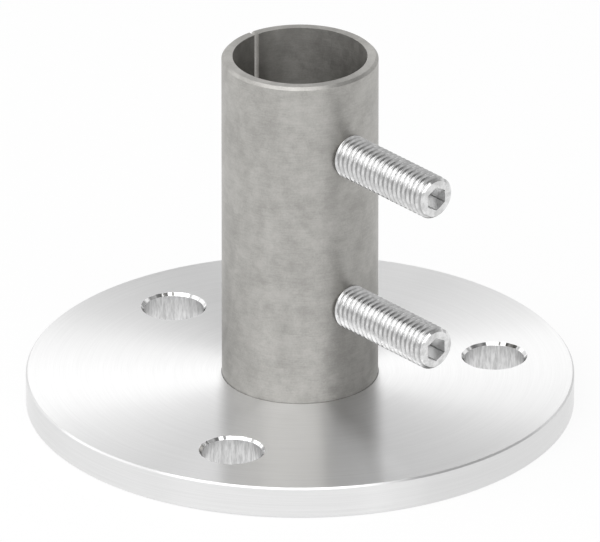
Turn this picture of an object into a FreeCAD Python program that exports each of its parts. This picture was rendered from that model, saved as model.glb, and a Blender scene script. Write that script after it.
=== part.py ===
import FreeCAD, Part
import math
import os

# Wall and floor anchor for a tubular post. It stands on its flat round plate with +Z up, and the
# origin is the centre of the plate's underside. All sizes are in millimetres and degrees.

# Base plate
plate_diameter = 100.0
plate_thickness = 6.0
plate_edge_break = 0.3

# Fixing holes, evenly spaced on a circle, the first one in line with the sleeve's slit
fixing_hole_count = 3
fixing_circle_diameter = 72.0
fixing_hole_diameter = 11.0
fixing_hole_chamfer = 0.5
first_fixing_hole_angle = 90.0

# Slit sleeve that the post slides over
sleeve_outer_diameter = 28.5
sleeve_wall = 2.0
sleeve_rise = 63.0  # from the plate's top to the rim
sleeve_rim_chamfer = 0.5
slit_width = 1.0

# Seat of the sleeve in the plate, welded from below
sleeve_seat_clearance = 0.1  # radial
weld_recess = 2.0  # from the plate's underside up to the sleeve's lower end
weld_setback = 0.2  # the bead stops this far short of the underside and of the hollow
weld_crown = 0.25  # how far the bead's face bulges

# Clamping screws, threaded through the sleeve's front wall and pointing at the slit
screw_diameter = 8.0
screw_length = 27.4
screw_end_chamfer = 0.6
screw_clearance = 0.05  # radial, in the sleeve's tapped holes
screw_tip_reach = 1.35  # how far the tip stands inside the sleeve's wall
lower_screw_height = 18.0  # above the plate's top
screw_spacing = 30.0

# Collars that flow drilling leaves behind the wall round the tapped holes, for more turns of thread
collar_length = 1.25  # from the inside of the sleeve's wall to the collar's flat end
collar_wall = 1.2  # round the tapped hole, at the collar's flat end
collar_draft_angle = 10.0  # the collar widens towards the sleeve's wall

# Hexagon socket in each screw's outer end
socket_across_flats = 4.0
socket_depth = 5.0
socket_drill_point_angle = 118.0

# Worked out from the sizes above
plate_radius = plate_diameter / 2
sleeve_radius = sleeve_outer_diameter / 2
hollow_radius = sleeve_radius - sleeve_wall
seat_radius = sleeve_radius + sleeve_seat_clearance
sleeve_top = plate_thickness + sleeve_rise
screw_radius = screw_diameter / 2
tapped_hole_radius = screw_radius + screw_clearance
screw_tip_distance = hollow_radius - screw_tip_reach
lower_screw_z = plate_thickness + lower_screw_height
upper_screw_z = lower_screw_z + screw_spacing

# A cutting tool runs this far past the faces it cuts
overrun = 1.0

up = FreeCAD.Vector(0, 0, 1)
forward = FreeCAD.Vector(0, -1, 0)
centre = FreeCAD.Vector(0, 0, 0)


# Turns a closed outline of (radius, height) points once round the Z axis
def turned(points):
    corners = [FreeCAD.Vector(radius, 0, height) for radius, height in points]
    outline = Part.makePolygon(corners + corners[:1])
    return Part.Face(outline).revolve(centre, up, 360)


# A through hole along Z with the same chamfer at both faces of the plate
def fixing_hole_cutter(x, y):
    radius = fixing_hole_diameter / 2
    mouth = radius + fixing_hole_chamfer + overrun
    flare = fixing_hole_chamfer + overrun
    cutter = turned(
        [
            (0, -overrun),
            (mouth, -overrun),
            (radius, flare - overrun),
            (radius, plate_thickness - flare + overrun),
            (mouth, plate_thickness + overrun),
            (0, plate_thickness + overrun),
        ]
    )
    cutter.translate(FreeCAD.Vector(x, y, 0))
    return cutter


def make_base_plate():
    edge = plate_radius - plate_edge_break
    plate = turned(
        [
            (seat_radius, 0),
            (edge, 0),
            (plate_radius, plate_edge_break),
            (plate_radius, plate_thickness - plate_edge_break),
            (edge, plate_thickness),
            (seat_radius, plate_thickness),
        ]
    )
    for number in range(fixing_hole_count):
        angle = math.radians(first_fixing_hole_angle + number * 360 / fixing_hole_count)
        x = fixing_circle_diameter / 2 * math.cos(angle)
        y = fixing_circle_diameter / 2 * math.sin(angle)
        plate = plate.cut(fixing_hole_cutter(x, y))
    return plate


# The collar's foot reaches halfway into the sleeve's wall, so that the two are one solid
def make_collar(height):
    end_distance = hollow_radius - collar_length
    end_radius = tapped_hole_radius + collar_wall
    length = sleeve_radius - end_distance
    foot_radius = end_radius + length * math.tan(math.radians(collar_draft_angle))
    end = FreeCAD.Vector(0, -end_distance, height)
    collar = Part.makeCone(end_radius, foot_radius, length, end, forward)
    inside_wall = Part.makeCylinder(sleeve_radius - sleeve_wall / 2, sleeve_top)
    return collar.common(inside_wall)


def make_sleeve():
    sleeve = turned(
        [
            (hollow_radius, weld_recess),
            (sleeve_radius, weld_recess),
            (sleeve_radius, sleeve_top - sleeve_rim_chamfer),
            (sleeve_radius - sleeve_rim_chamfer, sleeve_top),
            (hollow_radius, sleeve_top),
        ]
    )
    # The slit runs the whole length of the back wall, opposite the screws
    slit = Part.makeBox(
        slit_width,
        sleeve_radius + overrun,
        sleeve_top + overrun,
        FreeCAD.Vector(-slit_width / 2, 0, 0),
    )
    sleeve = sleeve.cut(slit)
    for height in (lower_screw_z, upper_screw_z):
        hole = Part.makeCylinder(
            tapped_hole_radius,
            sleeve_radius + overrun,
            FreeCAD.Vector(0, 0, height),
            forward,
        )
        sleeve = sleeve.fuse(make_collar(height)).cut(hole)
    return sleeve


# A bead in the corner between the sleeve's lower end and the wall of the plate's centre hole
def make_weld_bead():
    corner = FreeCAD.Vector(seat_radius, 0, weld_recess)
    inner_toe = FreeCAD.Vector(hollow_radius + weld_setback, 0, weld_recess)
    lower_toe = FreeCAD.Vector(seat_radius, 0, weld_setback)
    middle = (inner_toe + lower_toe) * 0.5
    outwards = (middle - corner).normalize()
    crown = middle + outwards * weld_crown
    section = Part.Wire(
        [
            Part.LineSegment(corner, inner_toe).toShape(),
            Part.Arc(inner_toe, crown, lower_toe).toShape(),
            Part.LineSegment(lower_toe, corner).toShape(),
        ]
    )
    return Part.Face(section).revolve(centre, up, 360)


# A hexagonal prism with two corners in line with the sleeve, and the drill's cone at its bottom
def make_socket_cutter():
    corner_radius = socket_across_flats / math.sqrt(3)
    drill_radius = socket_across_flats / 2
    point_depth = drill_radius / math.tan(math.radians(socket_drill_point_angle / 2))
    floor = screw_length - socket_depth
    corners = []
    for number in range(7):
        angle = math.radians(90 + 60 * number)
        x = corner_radius * math.cos(angle)
        y = corner_radius * math.sin(angle)
        corners.append(FreeCAD.Vector(x, y, floor))
    hexagon = Part.Face(Part.makePolygon(corners))
    prism = hexagon.extrude(FreeCAD.Vector(0, 0, socket_depth + overrun))
    point = turned([(0, floor - point_depth), (drill_radius, floor), (0, floor)])
    return prism.fuse(point)


# The screw is made upright with its tip at the origin, then laid through the sleeve's front wall
def make_set_screw(height):
    tip = screw_radius - screw_end_chamfer
    screw = turned(
        [
            (0, 0),
            (tip, 0),
            (screw_radius, screw_end_chamfer),
            (screw_radius, screw_length - screw_end_chamfer),
            (tip, screw_length),
            (0, screw_length),
        ]
    )
    screw = screw.cut(make_socket_cutter())
    screw.rotate(centre, FreeCAD.Vector(1, 0, 0), 90)
    screw.translate(FreeCAD.Vector(0, -screw_tip_distance, height))
    return screw


def main():
    pieces = {
        "base_plate": make_base_plate(),
        "sleeve": make_sleeve(),
        "weld_bead": make_weld_bead(),
        "set_screw_upper": make_set_screw(upper_screw_z),
        "set_screw_lower": make_set_screw(lower_screw_z),
    }
    os.makedirs("parts", exist_ok=True)
    for name, shape in pieces.items():
        shape.exportStep(f"parts/{name}.step")
        print(name, "solids", len(shape.Solids), "volume", round(shape.Volume, 1), "valid", shape.isValid())


main()
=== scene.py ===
import bmesh
import bpy
import math
from mathutils import Matrix, Vector


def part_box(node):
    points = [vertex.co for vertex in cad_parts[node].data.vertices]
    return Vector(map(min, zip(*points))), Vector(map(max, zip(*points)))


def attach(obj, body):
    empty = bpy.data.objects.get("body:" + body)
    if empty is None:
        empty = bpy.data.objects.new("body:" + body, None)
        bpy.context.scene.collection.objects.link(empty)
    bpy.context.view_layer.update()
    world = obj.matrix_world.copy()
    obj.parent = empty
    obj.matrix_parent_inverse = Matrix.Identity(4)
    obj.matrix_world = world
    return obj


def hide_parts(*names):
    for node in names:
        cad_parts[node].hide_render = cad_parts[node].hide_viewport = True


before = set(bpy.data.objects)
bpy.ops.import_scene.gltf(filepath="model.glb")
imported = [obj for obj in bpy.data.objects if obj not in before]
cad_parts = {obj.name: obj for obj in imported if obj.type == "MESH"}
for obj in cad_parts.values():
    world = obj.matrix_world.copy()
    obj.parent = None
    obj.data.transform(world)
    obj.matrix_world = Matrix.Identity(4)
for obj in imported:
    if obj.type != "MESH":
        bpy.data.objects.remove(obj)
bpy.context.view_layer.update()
scene = bpy.context.scene
mm = 0.001
fullTurn = 2 * math.pi
scene.view_settings.view_transform = "Standard"


# One output socket of a node, so that sums and products of sockets read as plain expressions
class Value:
    def __init__(self, nodes, node, output=0):
        self.nodes = nodes
        self.node = node
        self.socket = node.outputs[output] if node.outputs else None

    # Another output of the same node
    def other(self, output):
        return Value(self.nodes, self.node, output)

    # The X, Y and Z of a vector
    def parts(self):
        x = self.nodes.add("ShaderNodeSeparateXYZ", None, [self])
        return x, x.other(1), x.other(2)

    def maths(self, operation, *values):
        return self.nodes.add("ShaderNodeMath", {"operation": operation}, values)

    def __add__(self, value):
        return self.maths("ADD", self, value)

    def __radd__(self, value):
        return self.maths("ADD", value, self)

    def __sub__(self, value):
        return self.maths("SUBTRACT", self, value)

    def __rsub__(self, value):
        return self.maths("SUBTRACT", value, self)

    def __mul__(self, value):
        return self.maths("MULTIPLY", self, value)

    def __rmul__(self, value):
        return self.maths("MULTIPLY", value, self)

    def __truediv__(self, value):
        return self.maths("DIVIDE", self, value)

    def __pow__(self, value):
        return self.maths("POWER", self, value)

    def __abs__(self):
        return self.maths("ABSOLUTE", self)

    def __lt__(self, value):
        return self.maths("LESS_THAN", self, value)

    def __gt__(self, value):
        return self.maths("GREATER_THAN", self, value)

    def least(self, value):
        return self.maths("MINIMUM", self, value)

    def most(self, value):
        return self.maths("MAXIMUM", self, value)

    def rounded(self):
        return self.maths("ROUND", self)

    def roundedDown(self):
        return self.maths("FLOOR", self)

    def roundedUp(self):
        return self.maths("CEIL", self)

    def sine(self):
        return self.maths("SINE", self)

    def cosine(self):
        return self.maths("COSINE", self)

    # Kept between 0 and 1
    def limited(self):
        return self.nodes.add("ShaderNodeMath", {"operation": "ADD", "use_clamp": True}, [self, 0.0])

    # 0 below low, 1 above high, and a smooth step between
    def rise(self, low, high):
        return self.nodes.add(
            "ShaderNodeMapRange",
            {"interpolation_type": "SMOOTHSTEP"},
            {"Value": self, "From Min": low, "From Max": high},
        )


# A shader's, a world's or a geometry's tree of nodes, with one way to add any node
class Nodes:
    def __init__(self, tree):
        self.tree = tree

    def add(self, kind, settings=None, values=None, output=0):
        node = self.tree.nodes.new(kind)
        for name, setting in (settings or {}).items():
            if name == "stops":
                self.setStops(node.color_ramp.elements, setting)
            else:
                setattr(node, name, setting)
        pairs = values.items() if isinstance(values, dict) else enumerate(values or [])
        for key, value in pairs:
            if isinstance(value, Value):
                self.tree.links.new(value.socket, node.inputs[key])
            else:
                node.inputs[key].default_value = value
        return Value(self, node, output)

    # A new colour ramp has two stops already
    def setStops(self, elements, stops):
        for number, (place, colour) in enumerate(stops):
            stop = elements[number] if number < 2 else elements.new(place)
            stop.position = place
            stop.color = (*colour, 1)

    def vector(self, x, y, z):
        return self.add("ShaderNodeCombineXYZ", None, [x, y, z])

    # The node's inputs 6 and 7 and its output 2 are those for colours
    def mixColours(self, share, first, second):
        return self.add("ShaderNodeMix", {"data_type": "RGBA"}, {0: share, 6: first, 7: second}, 2)

    def mixShaders(self, share, first, second):
        return self.add("ShaderNodeMixShader", None, [share, first, second])

    def noise(self, place, scale, detail=2.0, roughness=0.5, distortion=0.0):
        values = {"Vector": place, "Scale": scale, "Detail": detail}
        values |= {"Roughness": roughness, "Distortion": distortion}
        return self.add("ShaderNodeTexNoise", None, values)


def hypotenuse(first, second):
    return (first * first + second * second) ** 0.5


def grey(level):
    return (level, level, level, 1)


def newPiece(name, mesh):
    piece = bpy.data.objects.new(name, mesh)
    scene.collection.objects.link(piece)
    return piece


def newMaterial(name):
    material = bpy.data.materials.new(name)
    material.use_nodes = True
    material.node_tree.nodes.clear()
    return material, Nodes(material.node_tree)


def finishMaterial(material, nodes, shader):
    nodes.add("ShaderNodeOutputMaterial", None, {"Surface": shader})
    return material


print("frame loaded and tools ready")


# Studio

camera = {
    "azimuth": -40,  # degrees, the photograph's
    "elevation": 25,
    "lens": 1400,  # mm, so long that the picture is nearly parallel, as the photograph is
    "sensor": 36,  # mm
    "pictureWidth": 0.10917,  # m across the picture at the target
    "target": (0, 0, 0.02598),  # m
}

lamps = {
    # name: azimuth and elevation it shines from in degrees, distance and size in metres, brightness
    "frontSoftbox": {"azimuth": -50, "elevation": 49, "distance": 1.0, "size": (1.7, 0.8), "radiance": 1.32},
    "stripLight": {"azimuth": -2, "elevation": 16, "distance": 1.0, "size": (0.42, 0.3), "radiance": 0.95},
    "topSoftbox": {"azimuth": -60, "elevation": 70, "distance": 1.0, "size": (1.0, 0.5), "radiance": 1.2},
    "leftSoftbox": {"azimuth": -130, "elevation": 36, "distance": 1.0, "size": (0.9, 0.8), "radiance": 0.7},
    "leftBackBand": {"azimuth": -165, "elevation": 24, "distance": 1.0, "size": (0.8, 0.6), "radiance": 0.3},
    "backBand": {"azimuth": 148, "elevation": 24, "distance": 1.2, "size": (0.8, 0.42), "radiance": 0.7},
    "rightBackBand": {"azimuth": 100, "elevation": 24, "distance": 1.2, "size": (0.9, 0.42), "radiance": 0.3},
}

studio = {
    "floorColour": grey(0.86),
    "floorGlow": 0.9,  # share of the floor seen by the camera and in metal that is plain white
    "floorSide": 8.0,  # m
    "floorGap": 0.1,  # mm below the plate, so that the two faces don't lie in one plane
    "walls": 0.6,  # brightness of the room's walls where they are darkest
    "ceiling": 0.25,
    "ceilingEdge": (0.34, 0.85),  # sines of the elevations where the walls end and the ceiling is full
    "dimSide": 80,  # degrees, the azimuth of the darkest wall
    "windowSide": 0.4,  # how much brighter the wall opposite it is
}


# The unit vector from the object towards a place that many degrees round it and above it
def directionTo(azimuth, elevation):
    turn = math.radians(azimuth)
    lift = math.radians(elevation)
    return Vector((math.sin(turn) * math.cos(lift), -math.cos(turn) * math.cos(lift), math.sin(lift)))


# Places a thing by its azimuth, elevation and distance from the picture's target, facing the target
def aim(thing, facts, distance):
    target = Vector(camera["target"])
    direction = directionTo(facts["azimuth"], facts["elevation"])
    thing.location = target + direction * distance
    thing.rotation_euler = direction.to_track_quat("Z", "Y").to_euler()


def makeCamera():
    lens = bpy.data.cameras.new("camera")
    lens.lens = camera["lens"]
    lens.sensor_width = camera["sensor"]
    scene.camera = newPiece("camera", lens)
    aim(scene.camera, camera, camera["pictureWidth"] * camera["lens"] / camera["sensor"])


def makeLamp(name, lamp):
    light = bpy.data.lights.new(name, "AREA")
    light.shape = "RECTANGLE"
    light.size, light.size_y = lamp["size"]
    light.energy = lamp["radiance"] * light.size * light.size_y * math.pi
    aim(newPiece(name, light), lamp, lamp["distance"])


# 1 for what the camera sees straight, in metal or through glass
def seenRay(nodes):
    path = nodes.add("ShaderNodeLightPath", None, None, "Is Camera Ray")
    return path.most(path.other("Is Glossy Ray")).most(path.other("Is Transmission Ray"))


# The camera sees plain white, and the object a room with a dimmer ceiling and one dimmer side
def makeWorld():
    world = bpy.data.worlds.new("studio")
    world.use_nodes = True
    world.node_tree.nodes.clear()
    scene.world = world
    nodes = Nodes(world.node_tree)
    direction = nodes.add("ShaderNodeTexCoord", None, None, "Generated")
    overhead = direction.parts()[2].rise(*studio["ceilingEdge"])
    towardsDim = directionTo(studio["dimSide"], 0)
    dim = nodes.add("ShaderNodeVectorMath", {"operation": "DOT_PRODUCT"}, [direction, towardsDim], 1)
    room = studio["walls"] - (studio["walls"] - studio["ceiling"]) * overhead
    room = room + studio["windowSide"] * (1 - dim) / 2
    brightness = room.most(nodes.add("ShaderNodeLightPath", None, None, "Is Camera Ray"))
    background = nodes.add("ShaderNodeBackground", None, {"Color": grey(1), "Strength": brightness})
    nodes.add("ShaderNodeOutputWorld", None, {"Surface": background})


# White to the camera and clear from below, with the object's shadow on it
def makeFloor():
    half = studio["floorSide"] / 2
    z = -studio["floorGap"] * mm
    corners = [(-half, -half, z), (half, -half, z), (half, half, z), (-half, half, z)]
    mesh = bpy.data.meshes.new("floor")
    mesh.from_pydata(corners, [], [(0, 1, 2, 3)])
    material, nodes = newMaterial("whiteFloor")
    matt = nodes.add("ShaderNodeBsdfDiffuse", None, {"Color": studio["floorColour"]})
    glow = nodes.add("ShaderNodeEmission", None, {"Color": grey(1), "Strength": 1.0})
    fromAbove = nodes.mixShaders(seenRay(nodes) * studio["floorGlow"], matt, glow)
    clear = nodes.add("ShaderNodeBsdfTransparent")
    isBelow = nodes.add("ShaderNodeNewGeometry", None, None, "Backfacing")
    mesh.materials.append(finishMaterial(material, nodes, nodes.mixShaders(isBelow, fromAbove, clear)))
    newPiece("floor", mesh)


makeCamera()
for lampName, lampFacts in lamps.items():
    makeLamp(lampName, lampFacts)
makeWorld()
makeFloor()
print("studio ready")


# Steels


def dress(piece, material):
    piece.data.materials.clear()
    piece.data.materials.append(material)


def metres(sizes):
    return [size * mm for size in sizes]


# Where a point of the piece lies, in metres
def objectPlace(nodes):
    return nodes.add("ShaderNodeTexCoord", None, None, "Object")


# Fine marks of a tool that ran round Z. The grain is the noise's cells in a radian and in a metre along
def ringMarks(nodes, x, y, along, grain, detail=3.0):
    perRadian, perMetre = grain
    radius = hypotenuse(x, y)
    around = nodes.vector(x / radius * perRadian, y / radius * perRadian, along * perMetre)
    return nodes.noise(around, 1.0, detail, roughness=0.6)


# The finish's colour, from its darkest where the marks are low to its lightest where they are high
def toned(nodes, marks, finish):
    return nodes.mixColours(marks.rise(*finish["contrast"]), finish["darkest"], finish["lightest"])


def dented(nodes, height, depth):
    return nodes.add("ShaderNodeBump", None, {"Strength": 1.0, "Distance": depth * mm, "Height": height})


# Marks that run round Z stretch highlights across themselves, which the quarter turn gives
def steel(nodes, colour, roughness, normal, anisotropic=0.0):
    values = {"Base Color": colour, "Metallic": 1.0, "Roughness": roughness, "Normal": normal}
    if anisotropic:
        values |= {"Anisotropic": anisotropic, "Anisotropic Rotation": 0.25}
    return nodes.add("ShaderNodeBsdfPrincipled", None, values)


plateFinish = {
    "darkest": grey(0.76),
    "lightest": grey(0.82),
    "contrast": (0.25, 0.75),  # the marks' values where the steel is darkest and lightest
    "roughness": 0.29,
    "roughnessSpread": 0.06,
    "anisotropic": 1.0,
    "lines": (2.5, 5200),  # grain, as for ringMarks
    "lineDepth": 0.00009,  # mm
    "bands": (1.2, 1100),  # grain
    "bandShare": 0.3,  # of the colour, beside the lines
}

boreFinish = {
    "darkest": grey(0.54),
    "lightest": grey(0.82),
    "contrast": (0.3, 0.7),
    "roughness": 0.30,
    "grain": (12.0, 420.0),
    "depth": 0.006,  # mm
}

chamferFinish = {
    "darkest": grey(0.40),
    "lightest": grey(0.88),
    "contrast": (0.35, 0.60),
    "roughness": 0.08,
    "grain": (4.6, 40.0),
    "depth": 0.30,  # mm
}

fixingHoles = {
    "count": 3,
    "circleRadius": 36.0,  # mm
    "firstAngle": 90,  # degrees
    "radius": 5.5,  # mm
    "chamfer": 0.5,  # mm
    "margin": 0.03,  # mm, so that each face is wholly on one side of a finish's edge
}

heatTint = {
    "straw": (0.74, 0.62, 0.42, 1),
    "reach": (14.2, 18.2),  # mm from the axis, where it is full and where it ends
    "top": 2.5,  # mm above the plate's underside
    "strength": 0.5,
}


# Folds the three fixing holes onto one, and gives the place of a point from that hole's centre
def holePlace(x, y):
    share = fullTurn / fixingHoles["count"]
    angle = x.maths("ARCTAN2", y, x) - math.radians(fixingHoles["firstAngle"])
    turned = angle - (angle / share).rounded() * share
    radius = hypotenuse(x, y)
    return radius * turned.sine(), radius * turned.cosine() - fixingHoles["circleRadius"] * mm


# Brushed in circles all over, with drilled and polished fixing holes
def makePlateSteel():
    material, nodes = newMaterial("brushedPlateSteel")
    x, y, z = objectPlace(nodes).parts()
    radius = hypotenuse(x, y)
    lines = ringMarks(nodes, x, y, radius + z, plateFinish["lines"])
    bands = ringMarks(nodes, x, y, radius + z, plateFinish["bands"])
    marks = lines * (1 - plateFinish["bandShare"]) + bands * plateFinish["bandShare"]
    tint = (1 - radius.rise(*metres(heatTint["reach"]))) * (z < heatTint["top"] * mm) * heatTint["strength"]
    colour = nodes.mixColours(tint, toned(nodes, marks, plateFinish), heatTint["straw"])
    roughness = plateFinish["roughness"] + plateFinish["roughnessSpread"] * (bands - 0.5)
    normal = dented(nodes, lines, plateFinish["lineDepth"])
    brushed = steel(nodes, colour, roughness, normal, plateFinish["anisotropic"])

    across, out = holePlace(x, y)
    distance = hypotenuse(across, out)
    grain = ringMarks(nodes, across, out, z, boreFinish["grain"])
    normal = dented(nodes, grain, boreFinish["depth"])
    bored = steel(nodes, toned(nodes, grain, boreFinish), boreFinish["roughness"], normal)
    dents = ringMarks(nodes, across, out, z, chamferFinish["grain"], 0.0)
    normal = dented(nodes, dents, chamferFinish["depth"])
    polished = steel(nodes, toned(nodes, dents, chamferFinish), chamferFinish["roughness"], normal)

    edge = fixingHoles["radius"] + fixingHoles["margin"]
    isChamfer = distance > edge * mm
    isHole = distance < (edge + fixingHoles["chamfer"]) * mm
    hole = nodes.mixShaders(isChamfer, bored, polished)
    return finishMaterial(material, nodes, nodes.mixShaders(isHole, brushed, hole))


sleeveFinish = {
    "darkest": (0.35, 0.342, 0.325, 1),
    "lightest": (0.505, 0.496, 0.474, 1),
    "contrast": (0.32, 0.68),
    "roughness": 0.46,
    "roughnessSpread": 0.10,
    "anisotropic": 0.6,
    "cloudsPerMetre": 140,
    "blotchesPerMetre": 520,
    "specksPerMetre": 3200,
    "scratches": (6.0, 4200),  # grain
    "scratchDepth": 0.0012,  # mm
    "shares": (0.3, 0.3, 0.2, 0.2),  # of clouds, blotches, specks and scratches in the colour
}


# Matt, as rolled and pickled, with faint clouds, specks and fine scratches round the tube
def makeSleeveSteel():
    material, nodes = newMaterial("millSleeveSteel")
    place = objectPlace(nodes)
    x, y, z = place.parts()
    clouds = nodes.noise(place, sleeveFinish["cloudsPerMetre"], distortion=0.6)
    blotches = nodes.noise(place, sleeveFinish["blotchesPerMetre"], 3.0, roughness=0.55, distortion=0.3)
    specks = nodes.noise(place, sleeveFinish["specksPerMetre"])
    scratches = ringMarks(nodes, x, y, z, sleeveFinish["scratches"])
    shares = zip((clouds, blotches, specks, scratches), sleeveFinish["shares"])
    colour = toned(nodes, sum(mark * share for mark, share in shares), sleeveFinish)
    roughness = sleeveFinish["roughness"] + sleeveFinish["roughnessSpread"] * (blotches - 0.5)
    normal = dented(nodes, scratches + specks, sleeveFinish["scratchDepth"])
    shader = steel(nodes, colour, roughness, normal, sleeveFinish["anisotropic"])
    return finishMaterial(material, nodes, shader)


screwFinish = {
    "darkest": grey(0.58),
    "lightest": grey(0.78),
    "contrast": (0.3, 0.7),
    "roughness": 0.06,
    "roughnessSpread": 0.06,
    "blotchesPerMetre": 900,
    "pocksPerMetre": 1800,
    "pockDepth": 0.019,  # mm
    "heights": (24.0, 54.0),  # mm, the screws' axes
    # painted shade for the thread's roots, darker than the steel
    "paintedRootShadeColour": grey(0.44),
    "root": (3.40, 3.80),  # mm from the axis, where the painted shade in the thread's roots is darkest and where it ends
    "insideThread": 3.25,  # mm from the axis
    "threadEnd": 37.65,  # mm, where the chamfer at the outer end starts, at rest
    "outerEnd": 38.25,  # mm, just behind the outer end, at rest
    "socketColour": grey(0.92),
    "socketRoughness": 0.32,
    "socketRadius": 2.36,  # mm, just past the hexagon's corners
    # painted shade for the sockets' corners
    "paintedCornerShadeColour": grey(0.42),
    "paintedCornerShadeReach": (2.19, 2.29),  # mm from the axis, where the painted shade in a socket's corner starts and is darkest
}


# Bright rolled steel, a little uneven, with painted shade in the thread's roots and along the sockets'
# corners, and duller inside the pressed sockets
def makeScrewSteel():
    material, nodes = newMaterial("brightScrewSteel")
    place = objectPlace(nodes)
    x, y, z = place.parts()
    lower, upper = metres(screwFinish["heights"])
    offAxis = hypotenuse(x, abs(z - (lower + upper) / 2) - (upper - lower) / 2)
    blotches = nodes.noise(place, screwFinish["blotchesPerMetre"], 3.0, roughness=0.6)
    pocks = nodes.noise(place, screwFinish["pocksPerMetre"], 1.0)

    isThread = (offAxis > screwFinish["insideThread"] * mm) * (y > -screwFinish["threadEnd"] * mm)
    # Painted shade in the thread's roots, full at the root and gone towards the crest
    root = (1 - offAxis.rise(*metres(screwFinish["root"]))) * isThread
    colour = nodes.mixColours(root, toned(nodes, blotches, screwFinish), screwFinish["paintedRootShadeColour"])
    roughness = screwFinish["roughness"] + screwFinish["roughnessSpread"] * blotches

    isSocket = (offAxis < screwFinish["socketRadius"] * mm) * (y > -screwFinish["outerEnd"] * mm)
    # Painted shade along the hexagon sockets' corners, where their walls meet
    corner = offAxis.rise(*metres(screwFinish["paintedCornerShadeReach"]))
    socketColour = nodes.mixColours(corner, screwFinish["socketColour"], screwFinish["paintedCornerShadeColour"])
    colour = nodes.mixColours(isSocket, colour, socketColour)
    roughness = roughness + (screwFinish["socketRoughness"] - roughness) * isSocket
    normal = dented(nodes, pocks, screwFinish["pockDepth"])
    return finishMaterial(material, nodes, steel(nodes, colour, roughness, normal))


weldFinish = {
    "stops": [
        (0.0, (0.50, 0.49, 0.47)),
        (0.30, (0.62, 0.52, 0.38)),
        (0.55, (0.40, 0.36, 0.42)),
        (0.80, (0.58, 0.57, 0.55)),
    ],
    "start": 12.3,  # mm from the axis, where the stops start
    "width": 2.1,  # mm
    "widthShare": 0.6,  # how far along the stops that width reaches
    "drift": 0.5,  # how far along them the noise shifts the colours
    "driftPerMetre": 350,
    "roughness": 0.30,
    "roughnessSpread": 0.2,
    "grainPerMetre": 3000,
    "grainDepth": 0.004,  # mm
}


# As welded, with heat colours that follow the bead
def makeWeldSteel():
    material, nodes = newMaterial("weldSteel")
    place = objectPlace(nodes)
    x, y = place.parts()[:2]
    drift = nodes.noise(place, weldFinish["driftPerMetre"], 3.0, roughness=0.6)
    across = (hypotenuse(x, y) - weldFinish["start"] * mm) / (weldFinish["width"] * mm)
    share = across * weldFinish["widthShare"] + drift * weldFinish["drift"]
    colour = nodes.add("ShaderNodeValToRGB", {"stops": weldFinish["stops"]}, [share])
    roughness = weldFinish["roughness"] + weldFinish["roughnessSpread"] * drift
    normal = dented(nodes, nodes.noise(place, weldFinish["grainPerMetre"]), weldFinish["grainDepth"])
    return finishMaterial(material, nodes, steel(nodes, colour, roughness, normal))


plateSteel = makePlateSteel()
sleeveSteel = makeSleeveSteel()
screwSteel = makeScrewSteel()
weldSteel = makeWeldSteel()
print("steels ready")


# Base plate

dress(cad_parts["base_plate"], plateSteel)


# Pieces wound from a grid


# A tree with named inputs that a modifier's user sets
def newGeometry(name, inputs):
    tree = bpy.data.node_groups.new(name, "GeometryNodeTree")
    tree.interface.new_socket("Geometry", in_out="INPUT", socket_type="NodeSocketGeometry")
    tree.interface.new_socket("Geometry", in_out="OUTPUT", socket_type="NodeSocketGeometry")
    for label in inputs:
        kind = {"Material": "Material", "Place": "Vector", "Columns": "Int"}.get(label, "Float")
        tree.interface.new_socket(label, in_out="INPUT", socket_type="NodeSocket" + kind)
    nodes = Nodes(tree)
    return nodes, nodes.add("NodeGroupInput")


# A flat grid, with each of its points' place from 0 to 1 round a turn, and the number of its row
def gridToWind(nodes, columns, lastRow):
    values = {"Size X": 1.0, "Size Y": 1.0, "Vertices X": columns + 1, "Vertices Y": lastRow + 1}
    grid = nodes.add("GeometryNodeMeshGrid", None, values)
    x, y = nodes.add("GeometryNodeInputPosition").parts()[:2]
    return grid, x + 0.5, ((y + 0.5) * lastRow).rounded()


# Winds the grid round Z, and joins points that fall together within that many millimetres
def wound(nodes, grid, turn, radius, height, joinWithin):
    angle = turn * fullTurn
    place = nodes.vector(radius * angle.cosine(), radius * angle.sine(), height)
    tube = nodes.add("GeometryNodeSetPosition", None, {"Geometry": grid, "Position": place})
    return nodes.add("GeometryNodeMergeByDistance", None, {"Geometry": tube, "Distance": joinWithin * mm})


# Moves what a tree has made to its place, turned from +Z to the given rotation, and ends the tree
def finishGeometry(nodes, given, made, rotation):
    values = {"Geometry": made, "Translation": given.other("Place"), "Rotation": rotation}
    laid = nodes.add("GeometryNodeTransform", None, values)
    plain = nodes.add("GeometryNodeRealizeInstances", None, [laid])
    values = {"Geometry": plain, "Material": given.other("Material")}
    dressed = nodes.add("GeometryNodeSetMaterial", None, values)
    nodes.add("NodeGroupOutput", None, [dressed])
    return nodes.tree


# Takes a piece's live modifiers into its mesh
def keepResult(piece):
    bpy.context.view_layer.update()
    result = bpy.data.meshes.new_from_object(piece.evaluated_get(bpy.context.evaluated_depsgraph_get()))
    piece.modifiers.clear()
    piece.data = result


def smooth(mesh, sharpAngle=30):
    mesh.shade_smooth()
    mesh.set_sharp_from_angle(angle=math.radians(sharpAngle))


# Runs a tree on a new piece and keeps the result as its plain mesh
def settled(name, tree, values):
    piece = newPiece(name, bpy.data.meshes.new(name))
    modifier = piece.modifiers.new("make", "NODES")
    modifier.node_group = tree
    for item in tree.interface.items_tree:
        if item.in_out == "INPUT" and item.name in values:
            modifier[item.identifier] = values[item.name]
    keepResult(piece)
    return piece


# Set screws, and the threads that they share with the tapped holes

setScrew = {
    "endChamfer": 0.6,  # mm
    "socket": 4.0,  # mm across flats
    "socketDepth": 5.0,  # mm
    "drill": 0.98,  # width of the hole drilled for the socket, over the socket's own
    "drillPoint": 0.6,  # height of the drill's point, over half the socket's width
}

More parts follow.
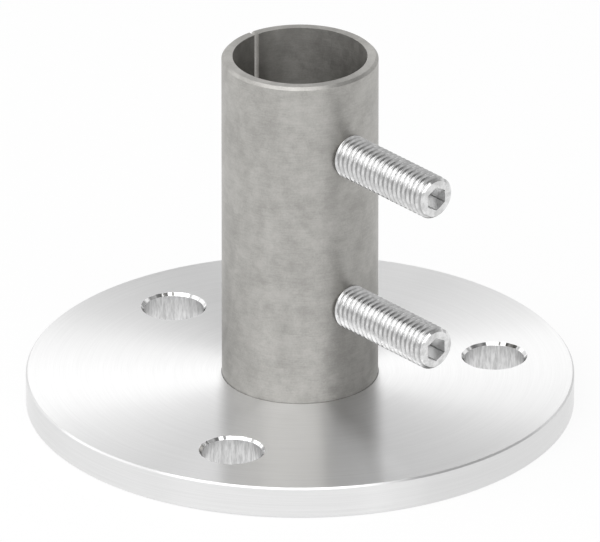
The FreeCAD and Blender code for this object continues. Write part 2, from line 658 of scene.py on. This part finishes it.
thread = {
    "pitch": 1.25,  # mm, for a thread 8 mm across
    "depth": 0.677,  # mm
    "halfCrest": 1 / 16,  # half a crest's width, in pitches
    "flank": 5 / 16,  # a flank's width, in pitches
    "clearance": 0.04,  # mm, radial, between the screws and the tapped holes
    "phase": 0.82,  # turns, so that a ridge of the tapped holes meets their outer ends as in the photograph
    "tapTurns": 8,  # in the tap's whole length
    "tapTurnsInside": 3,  # of them, past the screw's tip at rest
    "columns": 96,  # round one turn
    "rows": 16,  # in one pitch
    "joinWithin": 0.002,  # mm, for points that fall together
}


# A threaded rod on Z. The rows of its grid follow the helix, and the last four make the hexagon socket
def makeRodTree():
    inputs = ["Length", "Radius", "Depth", "Pitch", "Phase", "End Chamfer", "Socket", "Socket Depth"]
    inputs += ["Columns", "Place", "Material"]
    nodes, given = newGeometry("threadedRod", inputs)
    length = given.other("Length")
    pitch = given.other("Pitch")
    rows = thread["rows"]
    bodyRows = ((length / pitch).roundedUp() + 1) * rows + 1
    grid, turn, row = gridToWind(nodes, given.other("Columns"), bodyRows + 4)
    socketRow = row - bodyRows

    # The thread: flat crests, straight flanks and flat roots, cut back to a cone at both ends
    height = (pitch * ((row - 1) / rows - 1 + turn)).most(0.0).least(length)
    along = height / pitch - turn + given.other("Phase")
    fromCrest = abs(along - along.rounded())
    flank = ((fromCrest - thread["halfCrest"]) * (1 / thread["flank"])).limited()
    radius = given.other("Radius") - given.other("Depth") * flank
    endRadius = given.other("Radius") - given.other("End Chamfer")
    radius = radius.least(endRadius + height).least(endRadius + length - height)
    radius = radius * (row > 0.5)

    # The socket: rows 1 and 2 are hexagons with corners on Y, 3 the drilled hole's foot and 4 its point
    halfWidth = given.other("Socket") / 2
    sixth = turn * 6 - 0.5
    offFlat = (sixth - sixth.roundedDown() - 0.5) * (fullTurn / 6)
    hexagon = halfWidth / offFlat.cosine() * (socketRow < 2.5)
    drilled = halfWidth * setScrew["drill"] * (socketRow > 2.5) * (socketRow < 3.5)
    point = halfWidth * setScrew["drillPoint"] * (socketRow > 3.5)
    depth = given.other("Socket Depth") * (socketRow > 1.5) + point
    isSocket = socketRow > 0.5
    radius = radius * (1 - isSocket) + (hexagon + drilled) * isSocket
    height = height * (1 - isSocket) + (length - depth) * isSocket
    rod = wound(nodes, grid, turn, radius, height, thread["joinWithin"])
    return finishGeometry(nodes, given, rod, (fullTurn / 4, 0, 0))


rodTree = makeRodTree()


# Where a screw's axis, tip and outer end lie, in metres
def screwPlace(node):
    low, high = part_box(node)
    return {"radius": (high.z - low.z) / 2, "height": (high.z + low.z) / 2, "tip": -high.y, "head": -low.y}


def makeSetScrew(name, node, body):
    place = screwPlace(node)
    pitch = thread["pitch"] * mm
    screw = settled(
        name,
        rodTree,
        {
            "Length": place["head"] - place["tip"],
            "Radius": place["radius"],
            "Depth": thread["depth"] * mm,
            "Pitch": pitch,
            "Phase": place["tip"] / pitch + thread["phase"],
            "End Chamfer": setScrew["endChamfer"] * mm,
            "Socket": setScrew["socket"] * mm,
            "Socket Depth": setScrew["socketDepth"] * mm,
            "Columns": thread["columns"],
            "Place": (0, -place["tip"], place["height"]),
            "Material": screwSteel,
        },
    )
    smooth(screw.data)
    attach(screw, body)
    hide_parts(node)


makeSetScrew("set_screw_upper_threaded", "set_screw_upper", "upper_screw")
makeSetScrew("set_screw_lower_threaded", "set_screw_lower", "lower_screw")
print("set screws threaded")


# Sleeve

sleeve = {
    "wall": 2.0,  # mm
    "rimChamfer": 0.5,  # mm
    "slit": 1.0,  # mm wide
    "collarLength": 1.25,  # mm from the wall's inside to the flat end of the collar round a tapped hole
    "collarFoot": 0.5,  # mm into the wall
    "collarRadius": 5.25,  # mm at its flat end
    "collarDraft": 10,  # degrees
    "collarColumns": 128,
    "columns": 288,
    "rowHeight": 1.0,  # mm
    "overrun": 1.2,  # how much larger than the sleeve the slit's cutter is
}


def meshFrom(name, made):
    mesh = bpy.data.meshes.new(name)
    made.to_mesh(mesh)
    made.free()
    return mesh


# Turns a closed outline of (radius, height) points once round Z
def turnedMesh(name, outline, columns):
    made = bmesh.new()
    angles = [fullTurn * number / columns for number in range(columns)]
    rings = []
    for radius, height in outline:
        rings.append([made.verts.new((radius * math.cos(a), radius * math.sin(a), height)) for a in angles])
    for lower, upper in zip(rings, rings[1:] + rings[:1]):
        for number in range(columns):
            beside = (number + 1) % columns
            made.faces.new([lower[number], lower[beside], upper[beside], upper[number]])
    bmesh.ops.recalc_face_normals(made, faces=made.faces)
    return meshFrom(name, made)


# Adds or cuts away other pieces, which are then gone
def combine(piece, operation, others):
    for other in others:
        modifier = piece.modifiers.new("combine", "BOOLEAN")
        modifier.operation = operation
        modifier.solver = "EXACT"
        modifier.object = other
    keepResult(piece)
    for other in others:
        bpy.data.objects.remove(other)


# The collar that flow drilling leaves behind the wall, along a screw's axis
def makeCollar(node, hollow):
    start = hollow - sleeve["collarLength"] * mm
    end = hollow + sleeve["collarFoot"] * mm
    radius = sleeve["collarRadius"] * mm
    widened = radius + (end - start) * math.tan(math.radians(sleeve["collarDraft"]))
    facts = {"segments": sleeve["collarColumns"], "radius1": radius, "radius2": widened, "depth": end - start}
    made = bmesh.new()
    bmesh.ops.create_cone(made, cap_ends=True, **facts)
    middle = Matrix.Translation((0, -(start + end) / 2, screwPlace(node)["height"]))
    bmesh.ops.transform(made, matrix=middle @ Matrix.Rotation(fullTurn / 4, 4, "X"), verts=made.verts)
    return newPiece("collar", meshFrom("collar", made))


# A threaded rod that cuts a tapped hole for one screw, in step with the screw's own thread
def makeTap(node):
    place = screwPlace(node)
    pitch = thread["pitch"] * mm
    start = place["tip"] - thread["tapTurnsInside"] * pitch
    return settled(
        "tap",
        rodTree,
        {
            "Length": thread["tapTurns"] * pitch,
            "Radius": place["radius"] + thread["clearance"] * mm,
            "Depth": thread["depth"] * mm,
            "Pitch": pitch,
            "Phase": start / pitch + thread["phase"],
            "Columns": thread["columns"],
            "Place": (0, -start, place["height"]),
            "Material": sleeveSteel,
        },
    )


def makeSlitCutter(low, high):
    made = bmesh.new()
    bmesh.ops.create_cube(made, size=1)
    depth = high.x * sleeve["overrun"]
    size = Vector((sleeve["slit"] * mm, depth, (high.z - low.z) * sleeve["overrun"]))
    place = Vector((0, depth / 2, (low.z + high.z) / 2))
    bmesh.ops.transform(made, matrix=Matrix.LocRotScale(place, None, size), verts=made.verts)
    return newPiece("slitCutter", meshFrom("slitCutter", made))


def makeSleeve():
    low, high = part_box("sleeve")
    outside = high.x
    hollow = outside - sleeve["wall"] * mm
    chamfer = sleeve["rimChamfer"] * mm
    rows = round((high.z - low.z) / (sleeve["rowHeight"] * mm))
    rise = (high.z - chamfer - low.z) / rows
    outline = [(outside, low.z + rise * row) for row in range(rows + 1)]
    outline += [(outside - chamfer, high.z)]
    outline += [(hollow, high.z - (high.z - low.z) * row / rows) for row in range(rows + 1)]
    tube = newPiece("sleeve_tapped", turnedMesh("sleeve", outline, sleeve["columns"]))
    screws = ("set_screw_upper", "set_screw_lower")
    combine(tube, "UNION", [makeCollar(node, hollow) for node in screws])
    combine(tube, "DIFFERENCE", [makeTap(node) for node in screws] + [makeSlitCutter(low, high)])
    smooth(tube.data)
    dress(tube, sleeveSteel)
    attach(tube, "anchor")
    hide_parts("sleeve")


makeSleeve()
print("sleeve tapped")


# Weld

weld = {
    "ripples": 74.0,
    "rippleHeight": 0.07,  # mm
    "chevron": 0.9,  # how far each ripple's middle lags behind its ends, in ripples
    "fade": 3,  # the higher, the nearer to the toes the ripples keep their height
    "crown": 0.25,  # mm
    "setback": 0.2,  # mm, from the toes to the sleeve's bore and the plate's underside
    "columns": 1184,
    "rows": 12,  # across the free face
    "joinWithin": 0.001,  # mm, for points that fall together
    "sharpAngle": 40,  # degrees
}


# A ring of weld in the corner at the top outside of its section, with ripples on its free face
def makeBeadTree():
    rows = weld["rows"]
    inputs = ["Inner Radius", "Outer Radius", "Low", "High", "Crown", "Ripples", "Ripple Height", "Chevron"]
    inputs += ["Columns", "Place", "Material"]
    nodes, given = newGeometry("rippledBead", inputs)
    inner = given.other("Inner Radius")
    outer = given.other("Outer Radius")
    high = given.other("High")
    grid, turn, row = gridToWind(nodes, given.other("Columns"), rows + 1)
    across = (row / (rows - 1)).least(1.0)
    middle = 4 * across * (1 - across)
    ripple = turn * given.other("Ripples") + given.other("Chevron") * middle
    wave = abs((ripple * (fullTurn / 2)).sine())
    relief = given.other("Ripple Height") * (wave - 1) * (middle * weld["fade"]).least(1.0)
    bulge = given.other("Crown") * middle + relief
    width = outer - inner
    depth = high - given.other("Low")
    slope = hypotenuse(width, depth)

    # After the free face's rows come the corner and the inner toe once more, which close the section
    isCorner = row > rows - 0.5
    radius = (inner + width * across - bulge * depth / slope) * (1 - isCorner) + outer * isCorner
    height = (high - depth * across - bulge * width / slope) * (1 - isCorner) + high * isCorner
    isLast = row > rows + 0.5
    radius = radius * (1 - isLast) + inner * isLast
    bead = wound(nodes, grid, turn, radius, height, weld["joinWithin"])
    return finishGeometry(nodes, given, bead, (0, 0, 0))


def makeWeld():
    low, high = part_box("weld_bead")
    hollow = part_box("sleeve")[1].x - sleeve["wall"] * mm
    bead = settled(
        "weld_bead_rippled",
        makeBeadTree(),
        {
            "Inner Radius": hollow + weld["setback"] * mm,
            "Outer Radius": high.x,
            "Low": low.z,
            "High": high.z,
            "Crown": weld["crown"] * mm,
            "Ripples": weld["ripples"],
            "Ripple Height": weld["rippleHeight"] * mm,
            "Chevron": weld["chevron"],
            "Columns": weld["columns"],
            "Place": (0, 0, 0),
            "Material": weldSteel,
        },
    )
    smooth(bead.data, weld["sharpAngle"])
    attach(bead, "anchor")
    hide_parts("weld_bead")


makeWeld()
print("weld rippled")
